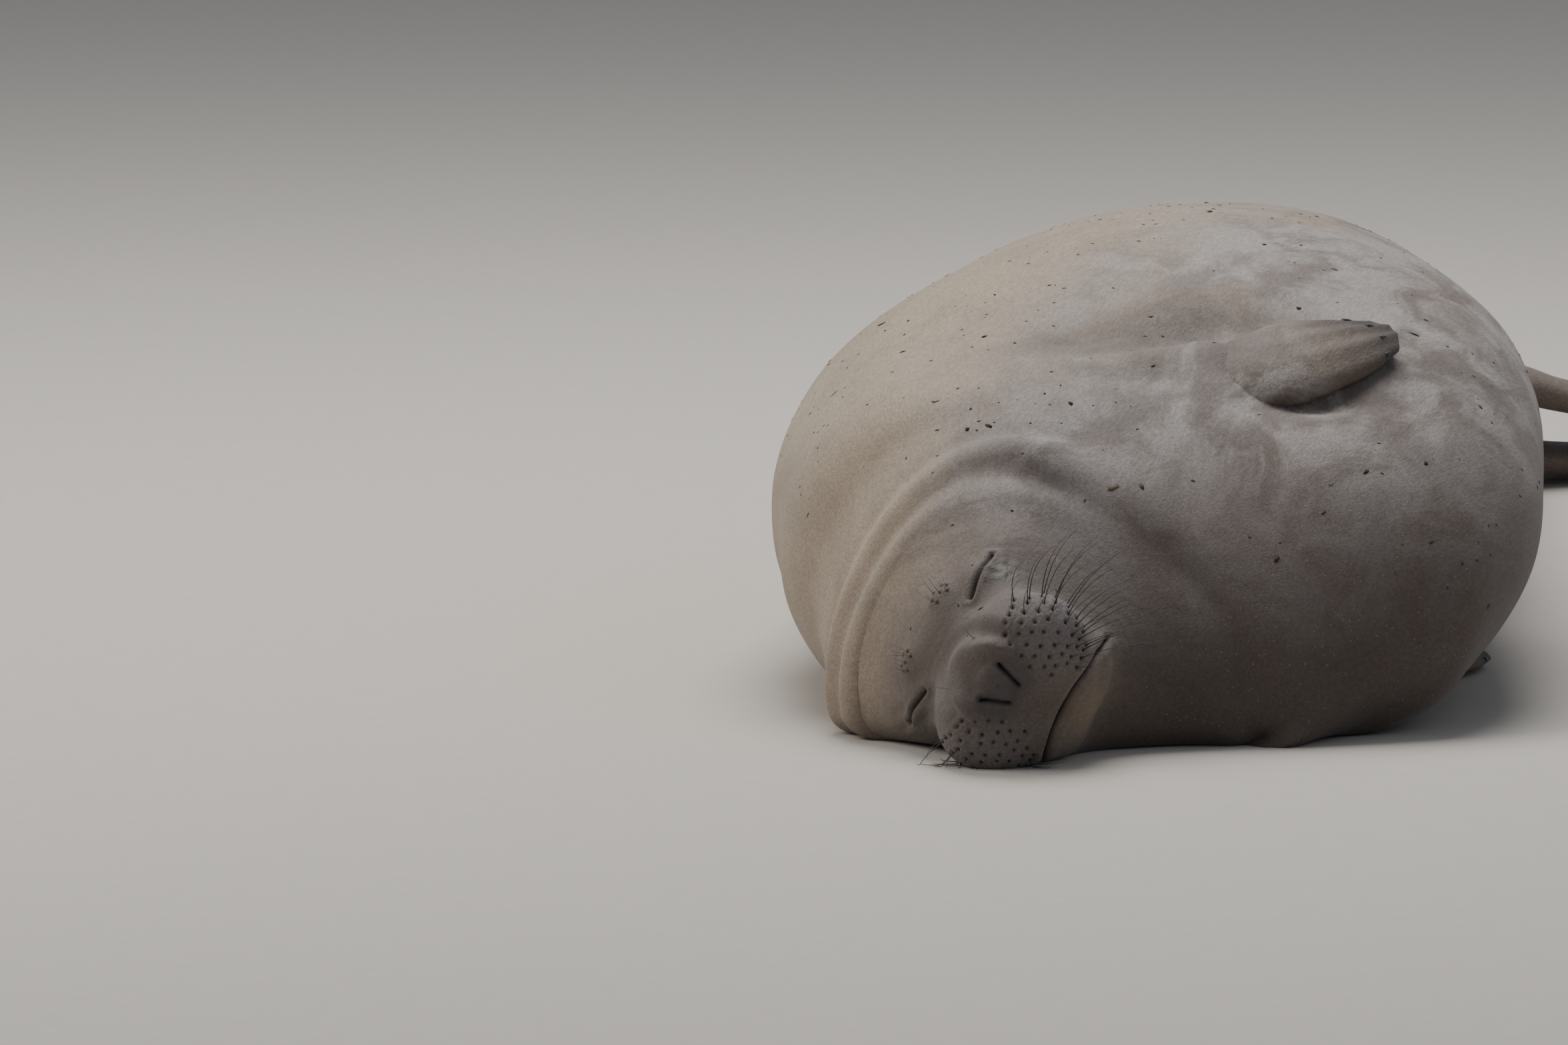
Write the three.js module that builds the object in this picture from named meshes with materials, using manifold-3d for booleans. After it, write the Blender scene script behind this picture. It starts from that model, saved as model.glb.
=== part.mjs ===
// A cow elephant seal asleep on her right side, life size, in millimetres.
// +Z is up and the floor is z = 0. Her head is towards -Y, her tail towards +Y, her back towards -X and her belly +X.
import * as THREE from "three";
import { mergeVertices } from "three/addons/utils/BufferGeometryUtils.js";
import Module from "manifold-3d";

const wasm = await Module();
wasm.setup();

const { degToRad: degrees, smoothstep } = THREE.MathUtils;
const V = (x, y, z) => new THREE.Vector3(x, y, z);
const UP = V(0, 0, 1);

// Shared sizes. Places are worked out from where the right cheek meets the floor, and the whole is centred at the end.
const MIDDLE_X = -50.2;
const MIDDLE_Y = 1490.51;
const PART_GAP = 0.3; // between neighbouring parts
const FLOOR_SOFT = 26; // how softly the flesh rounds off where it settles on the floor

// The head, rolled onto its right side and turned a little to the belly. Its own axes are forward, left and dorsal.
const NOSE = V(7, -38, 97);
const HEAD_TURN = degrees(19.5);
const HEAD_DROOP = degrees(3.5);
const HEAD_ROLL = degrees(64.5);
const BODY_ROLL = degrees(96);
const FORWARD = V(
  Math.sin(HEAD_TURN) * Math.cos(HEAD_DROOP),
  -Math.cos(HEAD_TURN) * Math.cos(HEAD_DROOP),
  -Math.sin(HEAD_DROOP),
);

// Directions across the body at a place where it faces forward with a given roll from upright.
function across(forward, roll) {
  const side = V(0, 0, 0).crossVectors(UP, forward).normalize();
  const above = V(0, 0, 0).crossVectors(forward, side);
  const dorsal = above.multiplyScalar(Math.cos(roll)).addScaledVector(side, -Math.sin(roll));
  return { dorsal, left: V(0, 0, 0).crossVectors(dorsal, forward) };
}
const { dorsal: DORSAL, left: LEFT } = across(FORWARD, HEAD_ROLL);

// From the head's own axes (forward of the nose, left, dorsal) to the floor's, and back.
const fromHead = (x, y, z) =>
  NOSE.clone().addScaledVector(FORWARD, x).addScaledVector(LEFT, y).addScaledVector(DORSAL, z);
function toHead(p) {
  const q = p.clone().sub(NOSE);
  return V(q.dot(FORWARD), q.dot(LEFT), q.dot(DORSAL));
}
const HEAD_FRAME = new THREE.Matrix4().makeBasis(FORWARD, LEFT, DORSAL).setPosition(NOSE);

// The body as a run of sections from nose to tail. Each has its centre, its reach to the back (dorsal), belly
// (ventral), upper flank (left) and lower flank (right), its roll, and its fullness, where 2 is an ellipse.
const alongHead = (back, dorsal, ventral, side, fullness = 2.15) => ({
  at: fromHead(-back, 0, 0), dorsal, ventral, left: side, right: side, roll: HEAD_ROLL, fullness,
});
const alongBody = (x, y, z, dorsal, ventral, left, right, roll = BODY_ROLL, fullness = 2.0) => ({
  at: V(x, y, z), dorsal, ventral, left, right, roll, fullness,
});
const POINT = 0.5;
const SECTIONS = [
  alongHead(-2, POINT, POINT, POINT, 2),
  alongHead(8, 26, 58, 52, 2.1),
  alongHead(35, 40, 92, 84, 2.3),
  alongHead(80, 54, 114, 96, 2.3),
  alongHead(130, 76, 140, 104),
  alongHead(190, 98, 238, 134),
  alongHead(250, 127, 338, 172),
  alongHead(305, 158, 418, 214),
  alongBody(-111, 350, 126, 205, 462, 238, 187, degrees(71), 2.1),
  alongBody(-118, 455, 147, 278, 535, 246, 215, degrees(81), 2.2),
  alongBody(-110, 640, 184, 352, 562, 246, 250, degrees(90), 2.2),
  alongBody(-114, 860, 216, 390, 522, 259, 275, degrees(93), 2.15),
  alongBody(-128, 1100, 236, 400, 462, 264, 285),
  alongBody(-150, 1350, 230, 405, 395, 262, 280),
  alongBody(-162, 1610, 212, 370, 335, 236, 262),
  alongBody(-168, 1860, 186, 310, 272, 202, 228),
  alongBody(-165, 2100, 155, 240, 208, 162, 185),
  alongBody(-155, 2320, 124, 172, 150, 124, 138),
  alongBody(-142, 2490, 100, 118, 108, 92, 100),
  alongBody(-134, 2630, 82, 66, 62, 54, 66),
  alongBody(-134, 2740, 70, 32, 30, 24, 30),
  alongBody(-138, 2800, 64, 20, 18, 14, 16),
  alongBody(-140, 2822, 62, POINT, POINT, POINT, POINT),
];
const LAST = SECTIONS.length - 1;
const smoothRun = (values) => new THREE.CatmullRomCurve3(values, false, "catmullrom", 0.5);
const CENTRES = smoothRun(SECTIONS.map((s) => s.at));
const REACHES = smoothRun(SECTIONS.map((s) => V(s.dorsal, s.ventral, s.left)));
const MANNERS = smoothRun(SECTIONS.map((s) => V(s.right, s.roll, s.fullness)));

// Height above the floor after the flesh has settled on it.
function settled(z) {
  if (z >= FLOOR_SOFT) return z;
  if (z <= -FLOOR_SOFT) return 0;
  return (z + FLOOR_SOFT) ** 2 / (4 * FLOOR_SOFT);
}

// A point of the plain body: section counts from 0 at the nose, turn goes from the back over the left flank.
const TANGENT_STEP = 0.04;
function bodyPoint(section, turn) {
  const u = section / LAST;
  const centre = CENTRES.getPoint(u);
  const ahead = CENTRES.getPoint(Math.max(0, section - TANGENT_STEP) / LAST);
  const forward = ahead.sub(CENTRES.getPoint(Math.min(LAST, section + TANGENT_STEP) / LAST)).normalize();
  const { x: dorsalReach, y: ventralReach, z: leftReach } = REACHES.getPoint(u);
  const { x: rightReach, y: roll, z: fullness } = MANNERS.getPoint(u);
  const { dorsal, left } = across(forward, roll);
  const c = Math.cos(turn);
  const s = Math.sin(turn);
  const out = (c >= 0 ? dorsalReach : ventralReach) * Math.sign(c) * Math.abs(c) ** (2 / fullness);
  const over = (s >= 0 ? leftReach : rightReach) * Math.sign(s) * Math.abs(s) ** (2 / fullness);
  const offset = dorsal.multiplyScalar(out).addScaledVector(left, over);
  const squeeze = offset.z < -1 ? (settled(centre.z + offset.z) - centre.z) / offset.z : 1;
  return pushedForward(centre.addScaledVector(offset, squeeze));
}

// The chest spreads forward on the floor on the belly side of the chin.
const CHEST_SPREAD = 110;
function pushedForward(p) {
  const aside = smoothstep(p.x, 40, 290);
  const low = 1 - 0.5 * smoothstep(p.z, 60, 360);
  const near = smoothstep(p.y, 60, 390) * (1 - smoothstep(p.y, 390, 1150));
  p.y -= CHEST_SPREAD * aside * low * near;
  return p;
}

// The forms of the face and neck, as heights above the plain body in the head's own axes.
const EYE = V(-146, 86, 49);
const BROW = V(-154, 43, 79);
const WHISKER_PAD = V(-44, 74, -30);
const mound = (p, at, radius, height) => height * Math.exp(-p.distanceToSquared(at) / radius ** 2);
const ring = (distance, at, width, height) => height * Math.exp(-(((distance - at) / width) ** 2));
function faceForm(world) {
  const p = toHead(world);
  const back = -p.x;
  if (back > 420) return 0;
  const mirrored = V(p.x, Math.abs(p.y), p.z);
  const aside = Math.hypot(p.y, p.z - 4);
  const onTop = smoothstep(p.z + 0.25 * mirrored.y, -8, 22) * smoothstep(-back, -120, -60);
  const snout = ring(aside, 24, 8, -4) + ring(aside, 38, 9, 9) + ring(aside, 53, 7, -4) + ring(aside, 65, 10, 4);
  const pads = mound(mirrored, WHISKER_PAD, 46, 24) + mound(mirrored, V(-4, 32, 20), 15, 6);
  const philtrum = mound(V(p.x, p.y, 0), V(-14, 0, 0), 15, -6) * smoothstep(-p.z, 22, 50);
  const chin = mound(p, V(-46, 0, -112), 50, 12) + mound(mirrored, V(-108, 66, -116), 48, 15);
  const eyes = mound(mirrored, EYE, 46, -9) + mound(mirrored, EYE, 27, 12);
  const corner = mound(mirrored, V(-100, 62, 40), 26, -7) + mound(mirrored, V(-96, 92, 0), 26, -5);
  const brows = mound(mirrored, BROW, 22, 5);
  const stop = mound(V(back, p.y * 0.5, p.z), V(98, 0, 62), 30, -7);
  const napeSide = smoothstep(p.z + 0.35 * p.y, -60, 60);
  const folds = napeSide * (ring(back, 258, 18, 4) + ring(back, 286, 12, -4) + ring(back, 314, 18, 5) + ring(back, 345, 14, -3));
  return onTop * snout + pads + philtrum + chin + eyes + corner + brows + stop + folds;
}

// The hollow and ridge over the left shoulder blade, the dent under the edge of the left fore flipper, and the
// full crook of the throat against the chest.
const SHOULDER = [
  { at: V(55, 655, 428), along: V(0.75, 0.62, 0.12), reach: [120, 54], height: -30 },
  { at: V(70, 528, 398), along: V(0.88, 0.4, -0.05), reach: [115, 32], height: 14 },
  { at: V(216, 510, 352), along: V(0.88, 0.45, -0.05), reach: [62, 32], height: -32 },
  { at: V(88, 275, 252), along: V(0.75, 0, -0.66), reach: [80, 44], height: 15 },
  { at: V(184, 268, 130), along: V(0.38, -0.08, -0.92), reach: [125, 46], height: 26 },
];
const shoulderForm = (p) => SHOULDER.reduce((sum, { at, along, reach: [long, wide], height }) => {
  const offset = p.clone().sub(at);
  const run = offset.dot(along) / along.length();
  const aside = Math.sqrt(Math.max(0, offset.lengthSq() - run * run));
  return sum + height * Math.exp(-((run / long) ** 2) - (aside / wide) ** 2);
}, 0);

function geometryOf(points, faces) {
  const geometry = new THREE.BufferGeometry();
  geometry.setAttribute("position", new THREE.Float32BufferAttribute(points.flatMap((p) => [p.x, p.y, p.z]), 3));
  geometry.setIndex(faces);
  return geometry;
}

// Faces between neighbouring rings of points, and a fan that closes an end.
function ringFaces(rings, around) {
  const at = (i, j) => i * around + (j % around);
  const faces = [];
  for (let i = 0; i < rings; i++)
    for (let j = 0; j < around; j++)
      faces.push(at(i, j), at(i + 1, j + 1), at(i + 1, j), at(i, j), at(i, j + 1), at(i + 1, j + 1));
  return faces;
}
function fanFaces(hub, first, around, atEnd) {
  const faces = [];
  for (let j = 0; j < around; j++) {
    const a = first + j;
    const b = first + ((j + 1) % around);
    faces.push(hub, ...(atEnd ? [a, b] : [b, a]));
  }
  return faces;
}

// The parts along the body: where each starts, counted in sections, and its rows of points.
const LENGTHS = [
  ["head", 0, 38], ["neck", 7.75, 5], ["chest", 8.9, 10], ["flank", 11.4, 6], ["belly", 13.3, 6], ["loin", 15.2, 5],
  ["rump", 17, 7], ["tail", 19.6, 6],
];
const AROUND = 52;
const skin = LENGTHS.flatMap(([, start, rows], i) => {
  const end = i + 1 < LENGTHS.length ? LENGTHS[i + 1][1] : LAST;
  return Array.from({ length: rows }, (_, k) => start + ((end - start) * k) / rows);
}).concat(LAST).flatMap((section) =>
  Array.from({ length: AROUND }, (_, j) => bodyPoint(section, (2 * Math.PI * j) / AROUND)));
const open = geometryOf(skin, ringFaces(skin.length / AROUND - 1, AROUND));
open.computeVertexNormals();
const normals = open.getAttribute("normal");
skin.forEach((p, i) => {
  p.addScaledVector(V(normals.getX(i), normals.getY(i), normals.getZ(i)), faceForm(p) + shoulderForm(p));
  p.setZ(Math.max(0, p.z));
});

// The closed part of the body between two rows, with a gap kept to the part in front of it.
function bodyLength(index) {
  const first = LENGTHS.slice(0, index).reduce((sum, [, , rows]) => sum + rows, 0);
  const rows = LENGTHS[index][2];
  const points = skin.slice(first * AROUND, (first + rows + 1) * AROUND).map((p) => p.clone());
  const front = points.slice(0, AROUND);
  const back = points.slice(-AROUND);
  const middle = (ring) => ring.reduce((sum, p) => sum.add(p), V(0, 0, 0)).divideScalar(AROUND);
  const away = middle(back).sub(middle(front)).normalize();
  if (index > 0) front.forEach((p) => { p.addScaledVector(away, PART_GAP); p.z = Math.max(0, p.z); });
  const hub = points.length;
  points.push(middle(front), middle(back));
  return geometryOf(points, [
    ...ringFaces(rows, AROUND), ...fanFaces(hub, 0, AROUND, false), ...fanFaces(hub + 1, rows * AROUND, AROUND, true),
  ]);
}

// Solids for joining and cutting, and back to geometry.
function solid(geometry) {
  const bare = geometry.clone();
  bare.deleteAttribute("normal");
  bare.deleteAttribute("uv");
  const merged = mergeVertices(bare, 1e-3);
  return new wasm.Manifold(new wasm.Mesh({
    numProp: 3,
    vertProperties: merged.getAttribute("position").array,
    triVerts: new Uint32Array(merged.index.array),
  }));
}
const largest = (body) => body.decompose().reduce((a, b) => (b.volume() > a.volume() ? b : a));
function toGeometry(body) {
  const mesh = body.getMesh();
  const points = [];
  for (let i = 0; i < mesh.numVert; i++) points.push(V(...mesh.vertProperties.slice(i * mesh.numProp, i * mesh.numProp + 3)));
  const geometry = geometryOf(points, [...mesh.triVerts]);
  geometry.computeVertexNormals();
  return geometry;
}

// A flipper: a flat paddle along a curve, with its digits as ridges and a tip whose length follows the digits.
function flipper({ route, flat, halfWidths, halfThicks, digitEnds, rows = 15, around = 20 }, grow = 0) {
  const line = new THREE.CatmullRomCurve3(route.map((p) => V(...p)), false, "catmullrom", 0.5);
  const sizes = smoothRun(halfWidths.map((w, i) => V(w, halfThicks[i], 0)));
  const digits = digitEnds.length;
  const points = [];
  for (let i = 0; i <= rows; i++)
    for (let j = 0; j < around; j++) {
      const turn = (2 * Math.PI * j) / around;
      const v = Math.cos(turn);
      const digit = ((v + 1) / 2) * (digits - 1);
      const reach = THREE.MathUtils.lerp(digitEnds[Math.floor(digit)], digitEnds[Math.min(digits - 1, Math.floor(digit) + 1)], digit % 1);
      const share = i / rows;
      const u = share * (1 + (reach - 1) * share);
      const along = line.getPoint(Math.min(1, u));
      const direction = line.getTangent(Math.min(1, u));
      const wide = V(0, 0, 0).crossVectors(V(...flat), direction).normalize();
      const thick = V(0, 0, 0).crossVectors(direction, wide);
      const { x: halfWidth, y: halfThick } = sizes.getPoint(share);
      const ridge = 1 + 0.16 * share * Math.cos(2 * Math.PI * digit);
      points.push(along.addScaledVector(direction, grow * ((i === rows) - (i === 0)))
        .addScaledVector(wide, v * (halfWidth + grow))
        .addScaledVector(thick, Math.sin(turn) * (halfThick * ridge + grow)));
    }
  points.push(line.getPoint(0).addScaledVector(line.getTangent(0), -grow));
  const faces = [...ringFaces(rows, around), ...fanFaces(points.length - 1, 0, around, false)];
  const end = rows * around;
  for (let j = 0; j < around / 2 - 1; j++) {
    const [a, b, c, d] = [j, j + 1, around - 1 - j, (around - j) % around].map((k) => end + k);
    if (j > 0) faces.push(a, b, d);
    faces.push(b, c, d);
  }
  faces.push(end + around / 2 - 1, end + around / 2, end + around / 2 + 1);
  return geometryOf(points, faces);
}


// An egg-shaped cutter with its long, short and deep half sizes along the given directions, bent by a curve.
function egg(at, long, out, [halfLong, halfWide, halfDeep], bend = 0) {
  const along = long.clone().normalize();
  const deep = out.clone().addScaledVector(along, -out.dot(along)).normalize();
  const wide = V(0, 0, 0).crossVectors(deep, along);
  const geometry = new THREE.IcosahedronGeometry(1, 3);
  const position = geometry.getAttribute("position");
  for (let i = 0; i < position.count; i++) {
    const [a, b, c] = [position.getX(i), position.getY(i), position.getZ(i)];
    const p = at.clone().addScaledVector(along, a * halfLong)
      .addScaledVector(wide, b * halfWide + bend * (1 - a * a)).addScaledVector(deep, c * halfDeep);
    position.setXYZ(i, p.x, p.y, p.z);
  }
  return solid(geometry);
}

const seal = new THREE.Group();
seal.name = "elephant_seal";
const coat = new THREE.MeshStandardMaterial({ color: 0x8f8171, roughness: 0.85 });
const face = new THREE.MeshStandardMaterial({ color: 0x5f554c, roughness: 0.8 });
const hide = new THREE.MeshStandardMaterial({ color: 0x54483d, roughness: 0.75 });
function add(name, body, material) {
  const mesh = new THREE.Mesh(toGeometry(largest(body).translate([-MIDDLE_X, -MIDDLE_Y, 0])), material);
  mesh.name = name;
  seal.add(mesh);
}

// Head, from the nose to a crease behind the skull.
const skull = solid(bodyLength(0));
const onSkin = (x, y, z) => {
  const target = fromHead(x, y, z);
  return skin.reduce((a, b) => (b.distanceToSquared(target) < a.distanceToSquared(target) ? b : a)).clone();
};

// The mouth closes on a curved sheet. The lower jaw is all that lies below it, in front of its hinge.
const MOUTH_CORNER = -128;
const mouthHeight = (x, y) => -80 - 0.0028 * y * y - 0.12 * Math.max(0, -x - 60);
function belowMouth(grow) {
  const front = 70;
  const width = 380;
  const bottom = -330;
  const length = front - MOUTH_CORNER + grow;
  const block = new THREE.BoxGeometry(length, width, 2, 14, 20, 1);
  const position = block.getAttribute("position");
  for (let i = 0; i < position.count; i++) {
    const x = position.getX(i) + front - length / 2;
    const y = position.getY(i);
    const z = position.getZ(i) > 0 ? mouthHeight(x, y) + grow : bottom;
    position.setXYZ(i, x, y, z);
  }
  return solid(block.applyMatrix4(HEAD_FRAME));
}
const jaw = skull.intersect(belowMouth(0));
const upper = skull.subtract(belowMouth(PART_GAP));
const muzzleBack = fromHead(-112, 0, 0).dot(FORWARD);
let muzzle = upper.trimByPlane(FORWARD.toArray(), muzzleBack);
let cranium = upper.trimByPlane(FORWARD.clone().negate().toArray(), PART_GAP - muzzleBack);

// Shut eyes: each pair of lids is a low dome in its socket, parted by a curved slit.
const headWay = (x, y, z) => fromHead(x, y, z).sub(NOSE);
for (const [name, side] of [["left", 1], ["right", -1]]) {
  const at = onSkin(-143, 82 * side, 50);
  const long = headWay(-43, 35 * side, -9);
  const out = headWay(0.35, 0.75 * side, 0.55);
  const lids = cranium.intersect(egg(at, long, out, [34, 24, 20]));
  cranium = cranium.subtract(egg(at, long, out, [34 + PART_GAP, 24 + PART_GAP, 20 + PART_GAP]));
  add(`eyelids_${name}`, lids.subtract(egg(at, long, out, [27, 1.3, 9], -3 * side)), face);
  const nostril = onSkin(2, 15 * side, -9);
  muzzle = muzzle.subtract(egg(nostril, headWay(-3, -11 * side, -33), headWay(1, 0, 0), [18, 2.2, 16], 2 * side));
  const ear = onSkin(-222, 112 * side, 40);
  cranium = cranium.subtract(egg(ear, headWay(1, 0, 0), headWay(0, side, 0.35), [4.5, 3, 9]));
}
add("head", cranium, face);
add("muzzle", muzzle, face);
add("lower_jaw", jaw, face);

// Fore flippers. The left lies folded back over the chest, the right is tucked under the belly on the floor.
const LEFT_FORE = {
  route: [[36, 530, 296], [112, 536, 366], [174, 560, 395], [222, 606, 412], [262, 690, 421]],
  flat: [0.21, -0.31, 0.93],
  halfWidths: [54, 66, 74, 66, 40],
  halfThicks: [36, 37, 31, 23, 10],
  digitEnds: [0.93, 0.98, 1, 0.97, 0.9],
};
const RIGHT_FORE = {
  route: [[120, 640, 60], [180, 730, 40], [225, 820, 28], [262, 910, 20], [290, 990, 14]],
  flat: [0.1, -0.05, 1],
  halfWidths: [60, 66, 72, 66, 34],
  halfThicks: [34, 30, 24, 14, 5],
  digitEnds: [0.96, 1, 0.98, 0.92, 0.82],
};
// Hind flippers, sole to sole behind her, the left on top.
const LEFT_HIND = {
  route: [[-150, 2480, 126], [-138, 2590, 142], [-100, 2690, 136], [-30, 2790, 106], [55, 2880, 84], [135, 2960, 68]],
  flat: [0.1, -0.1, 1],
  halfWidths: [48, 52, 62, 80, 100, 96],
  halfThicks: [27, 30, 28, 20, 13, 5],
  digitEnds: [1, 0.9, 0.8, 0.88, 1],
};
const RIGHT_HIND = {
  route: [[-150, 2480, 64], [-142, 2590, 54], [-108, 2690, 38], [-42, 2795, 28], [38, 2890, 19], [116, 2970, 12]],
  flat: [0.02, -0.02, 1],
  halfWidths: [46, 50, 60, 80, 100, 96],
  halfThicks: [27, 28, 26, 20, 13, 5],
  digitEnds: [1, 0.9, 0.8, 0.88, 1],
};
const flippers = [
  ["fore_flipper_left", LEFT_FORE], ["fore_flipper_right", RIGHT_FORE],
  ["hind_flipper_left", LEFT_HIND], ["hind_flipper_right", RIGHT_HIND],
];
for (const [name, shape] of flippers) add(name, solid(flipper(shape)), hide);
const room = wasm.Manifold.union(flippers.map(([, shape]) => solid(flipper(shape, 2 * PART_GAP))));

// Neck, trunk and tail.
for (let i = 1; i < LENGTHS.length; i++) add(LENGTHS[i][0], solid(bodyLength(i)).subtract(room), coat);

export default seal;
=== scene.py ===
"""A cow elephant seal asleep on her right side.

Skin, whiskers, flippers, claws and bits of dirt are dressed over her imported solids.
"""
import math

import bpy
import numpy as np
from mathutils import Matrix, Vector
from mathutils.kdtree import KDTree


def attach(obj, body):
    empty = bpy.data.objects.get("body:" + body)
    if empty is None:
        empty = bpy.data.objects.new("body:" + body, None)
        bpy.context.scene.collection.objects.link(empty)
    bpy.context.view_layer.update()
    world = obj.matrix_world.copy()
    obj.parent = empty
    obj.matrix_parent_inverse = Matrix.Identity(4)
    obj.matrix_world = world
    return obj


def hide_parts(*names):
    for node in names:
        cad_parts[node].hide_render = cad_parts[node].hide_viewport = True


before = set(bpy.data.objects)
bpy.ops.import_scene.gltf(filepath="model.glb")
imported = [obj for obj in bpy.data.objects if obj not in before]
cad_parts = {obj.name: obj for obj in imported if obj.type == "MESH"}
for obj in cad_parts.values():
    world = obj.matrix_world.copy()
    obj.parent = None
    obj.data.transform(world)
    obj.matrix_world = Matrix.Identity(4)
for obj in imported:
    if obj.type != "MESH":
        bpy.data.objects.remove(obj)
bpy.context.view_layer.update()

# Sizes are in millimetres, in the seal's own frame: the right cheek meets the floor at its origin.
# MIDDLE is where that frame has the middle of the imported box.
MIDDLE = np.array([-50.2, 1490.51, 0.0])
METRE = 1000.0
UP = np.array([0.0, 0.0, 1.0])
NOSE = np.array([7.0, -38.0, 97.0])
HEAD_TURN, HEAD_DROOP, HEAD_ROLL = np.radians([19.5, 3.5, 64.5])
BODY_ROLL = math.radians(96)
FLOOR_SOFT = 26.0  # how far above and below the floor the flesh rounds onto it
CHEST_SPREAD = 110
FORWARD = np.array([
    math.sin(HEAD_TURN) * math.cos(HEAD_DROOP),
    -math.cos(HEAD_TURN) * math.cos(HEAD_DROOP),
    -math.sin(HEAD_DROOP),
])


def unit(v):
    return v / np.linalg.norm(v, axis=-1, keepdims=True)


def across(forward, roll):
    """Dorsal and left directions of a body that faces forward, rolled from upright."""
    side = unit(np.cross(UP, forward))
    above = np.cross(forward, side)
    roll = np.asarray(roll)[..., None]
    dorsal = above * np.cos(roll) - side * np.sin(roll)
    return dorsal, np.cross(dorsal, forward)


DORSAL, LEFT = across(FORWARD, HEAD_ROLL)
HEAD_AXES = np.stack([FORWARD, LEFT, DORSAL])


def from_head(p):
    return NOSE + np.asarray(p, float) @ HEAD_AXES


def to_head(p):
    return (p - NOSE) @ HEAD_AXES.T


def placed(p):
    """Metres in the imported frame."""
    return (p - MIDDLE) / METRE


def smoothstep(x, low, high):
    t = np.clip((x - low) / (high - low), 0, 1)
    return t * t * (3 - 2 * t)


def along_head(back, dorsal, ventral, side, fullness=2.15):
    return (*from_head([-back, 0, 0]), dorsal, ventral, side, side, HEAD_ROLL, fullness)


def along_body(x, y, z, dorsal, ventral, left, right, roll=BODY_ROLL, fullness=2.0):
    return (x, y, z, dorsal, ventral, left, right, roll, fullness)


# From nose to tail: the middle, the reach to the back, belly, left and right, the roll, and how square it is.
POINT = 0.5
SECTIONS = np.array([
    along_head(-2, POINT, POINT, POINT, 2),
    along_head(8, 26, 58, 52, 2.1),
    along_head(35, 40, 92, 84, 2.3),
    along_head(80, 54, 114, 96, 2.3),
    along_head(130, 76, 140, 104),
    along_head(190, 98, 238, 134),
    along_head(250, 127, 338, 172),
    along_head(305, 158, 418, 214),
    along_body(-111, 350, 126, 205, 462, 238, 187, math.radians(71), 2.1),
    along_body(-118, 455, 147, 278, 535, 246, 215, math.radians(81), 2.2),
    along_body(-110, 640, 184, 352, 562, 246, 250, math.radians(90), 2.2),
    along_body(-114, 860, 216, 390, 522, 259, 275, math.radians(93), 2.15),
    along_body(-128, 1100, 236, 400, 462, 264, 285),
    along_body(-150, 1350, 230, 405, 395, 262, 280),
    along_body(-162, 1610, 212, 370, 335, 236, 262),
    along_body(-168, 1860, 186, 310, 272, 202, 228),
    along_body(-165, 2100, 155, 240, 208, 162, 185),
    along_body(-155, 2320, 124, 172, 150, 124, 138),
    along_body(-142, 2490, 100, 118, 108, 92, 100),
    along_body(-134, 2630, 82, 66, 62, 54, 66),
    along_body(-134, 2740, 70, 32, 30, 24, 30),
    along_body(-138, 2800, 64, 20, 18, 14, 16),
    along_body(-140, 2822, 62, POINT, POINT, POINT, POINT),
])
LAST = len(SECTIONS) - 1


def smooth_run(values, u):
    """A smooth curve through evenly spaced rows of values, read at the row numbers u."""
    values = np.asarray(values, float)
    rows = np.vstack([2 * values[:1] - values[1:2], values, 2 * values[-1:] - values[-2:-1]])
    u = np.clip(u, 0, len(values) - 1)
    i = np.minimum(u.astype(int), len(values) - 2)
    t = (u - i)[:, None]
    a, b, c, d = (rows[i + k] for k in range(4))
    v0, v1 = (c - a) / 2, (d - b) / 2
    return b + v0 * t + (3 * (c - b) - 2 * v0 - v1) * t**2 + (2 * (b - c) + v0 + v1) * t**3


def settled(z):
    """Heights with all that would be under the floor laid on it."""
    soft = (z + FLOOR_SOFT) ** 2 / (4 * FLOOR_SOFT)
    return np.where(z >= FLOOR_SOFT, z, np.where(z <= -FLOOR_SOFT, 0, soft))


def pushed_forward(p):
    """The chest spreads forward on the floor on the belly side of the chin."""
    aside = smoothstep(p[..., 0], 40, 290)
    low = 1 - 0.5 * smoothstep(p[..., 2], 60, 360)
    near = smoothstep(p[..., 1], 60, 390) * (1 - smoothstep(p[..., 1], 390, 1150))
    p[..., 1] -= CHEST_SPREAD * aside * low * near
    return p


def body_points(section, turn):
    """The plain body on a grid of section numbers and turns, from the back over the left flank."""
    here = smooth_run(SECTIONS, section)
    step = 0.04
    forward = unit(smooth_run(SECTIONS, section - step)[:, :3] - smooth_run(SECTIONS, section + step)[:, :3])
    dorsal, left = across(forward, here[:, 7])
    c, s = np.cos(turn)[None], np.sin(turn)[None]
    power = (2 / here[:, 8])[:, None]
    out = np.where(c >= 0, here[:, 3:4], here[:, 4:5]) * np.sign(c) * np.abs(c) ** power
    over = np.where(s >= 0, here[:, 5:6], here[:, 6:7]) * np.sign(s) * np.abs(s) ** power
    offset = dorsal[:, None] * out[..., None] + left[:, None] * over[..., None]
    z = here[:, 2:3]
    drop = np.minimum(offset[..., 2], -1)
    squeeze = np.where(offset[..., 2] < -1, (settled(z + drop) - z) / drop, 1)
    return pushed_forward(here[:, None, :3] + offset * squeeze[..., None])


def grid_normals(p):
    """Directions square to a grid whose rows close on themselves, outward on the body."""
    along = np.gradient(p, axis=0)
    around = np.roll(p, -1, axis=1) - np.roll(p, 1, axis=1)
    return unit(np.cross(around, along) + 1e-12)


LATTICE_BITS = 16
LATTICE = np.random.default_rng(11).random(1 << LATTICE_BITS) * 2 - 1
CELL_MIX = (73856093, 19349663, 83492791)
SEED_STEP = 2654435


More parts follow.
